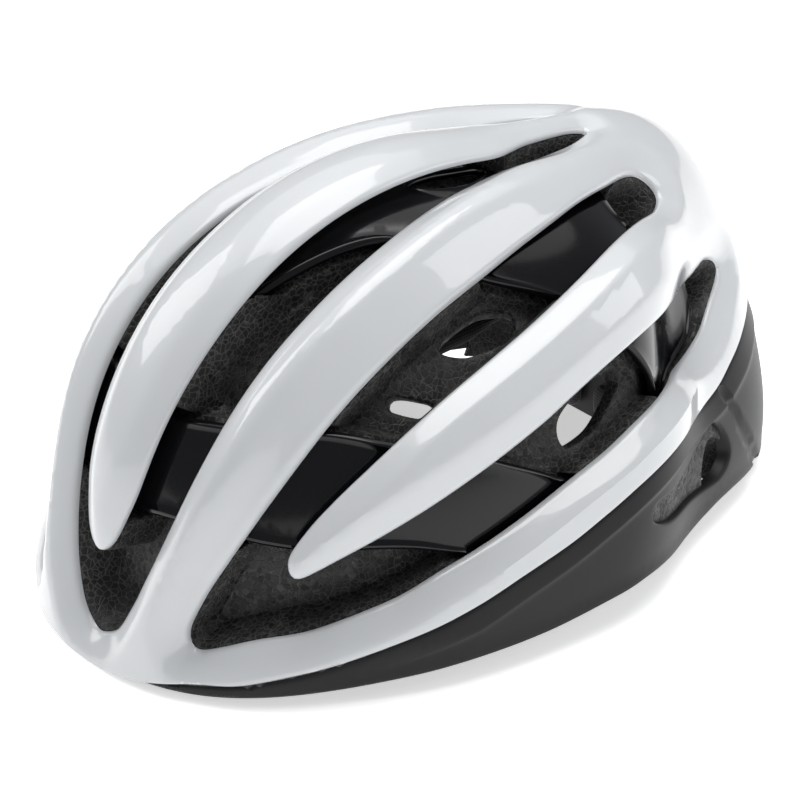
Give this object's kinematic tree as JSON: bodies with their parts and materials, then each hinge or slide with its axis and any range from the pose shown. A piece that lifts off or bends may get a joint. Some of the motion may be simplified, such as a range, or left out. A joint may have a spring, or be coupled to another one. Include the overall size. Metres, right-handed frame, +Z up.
{
  "type": "cycling helmet",
  "caption": "Vented road cycling helmet with ribbed shell, foam liner, bridging hoops, dial-adjusted rear cradle, and chin straps with a side-release buckle.",
  "frame": {"origin": "centre of the footprint, on the surface the helmet rests on", "axes": "+X to the wearer's left, -Y to the front, +Z up"},
  "size_m": [0.2038, 0.2991, 0.1505],
  "materials": {
    "white_shell": "gloss pearl white",
    "black_shell": "matt black",
    "foam": "black bead foam",
    "gloss_hoop": "gloss black",
    "pad_fabric": "brushed black",
    "nylon": "satin black",
    "rubber_grip": "matt",
    "webbing": "woven black"
  },
  "bodies": {
    "helmet": {"outer_shell": "white_shell", "lower_shell": "black_shell", "foam_liner": "foam", "front_hoop": "gloss_hoop", "rear_hoop": "gloss_hoop", "brow_pad": "pad_fabric", "crown_pad": "pad_fabric", "rib_pad_left": "pad_fabric", "rib_pad_right": "pad_fabric", "side_pad_left": "pad_fabric", "side_pad_right": "pad_fabric", "height_track": "nylon", "strap_front_left": "webbing", "strap_rear_left": "webbing", "strap_front_right": "webbing", "strap_rear_right": "webbing", "strap_divider_left": "nylon", "strap_divider_right": "nylon", "chin_strap_right": "webbing", "buckle_socket": "nylon"},
    "cradle": {"occipital_cradle": "nylon", "cradle_pad_left": "pad_fabric", "cradle_pad_right": "pad_fabric", "dial_housing": "nylon"},
    "dial": {"dial_knob": "rubber_grip", "dial_pinion": "nylon"},
    "arm_left": {"headband_arm_left": "nylon"},
    "arm_right": {"headband_arm_right": "nylon"},
    "buckle_half": {"buckle_plug": "nylon", "chin_strap_left": "webbing"}
  },
  "joints": [
    {"name": "cradle_height", "type": "slide", "parent": "helmet", "child": "cradle", "axis": [0, 0, 1], "range_m": [-0.005, 0.008]},
    {"name": "dial_turn", "type": "hinge", "parent": "cradle", "child": "dial", "pos_m": [0, 0.0876, 0.01845], "axis": [0, -1, 0], "range_deg": [0, 84]},
    {"name": "arm_left_slide", "type": "slide", "parent": "cradle", "child": "arm_left", "axis": [-1, 0, 0], "range_m": [0, 0.0075]},
    {"name": "arm_right_slide", "type": "slide", "parent": "cradle", "child": "arm_right", "axis": [1, 0, 0], "range_m": [0, 0.0075]},
    {"name": "buckle_release", "type": "slide", "parent": "helmet", "child": "buckle_half", "axis": [1, 0, 0], "range_m": [0, 0.022]}
  ],
  "couplings": [
    {"joint": "arm_left_slide", "follows": "dial_turn", "m_per_rad": 0.005},
    {"joint": "arm_right_slide", "follows": "dial_turn", "m_per_rad": 0.005}
  ]
}
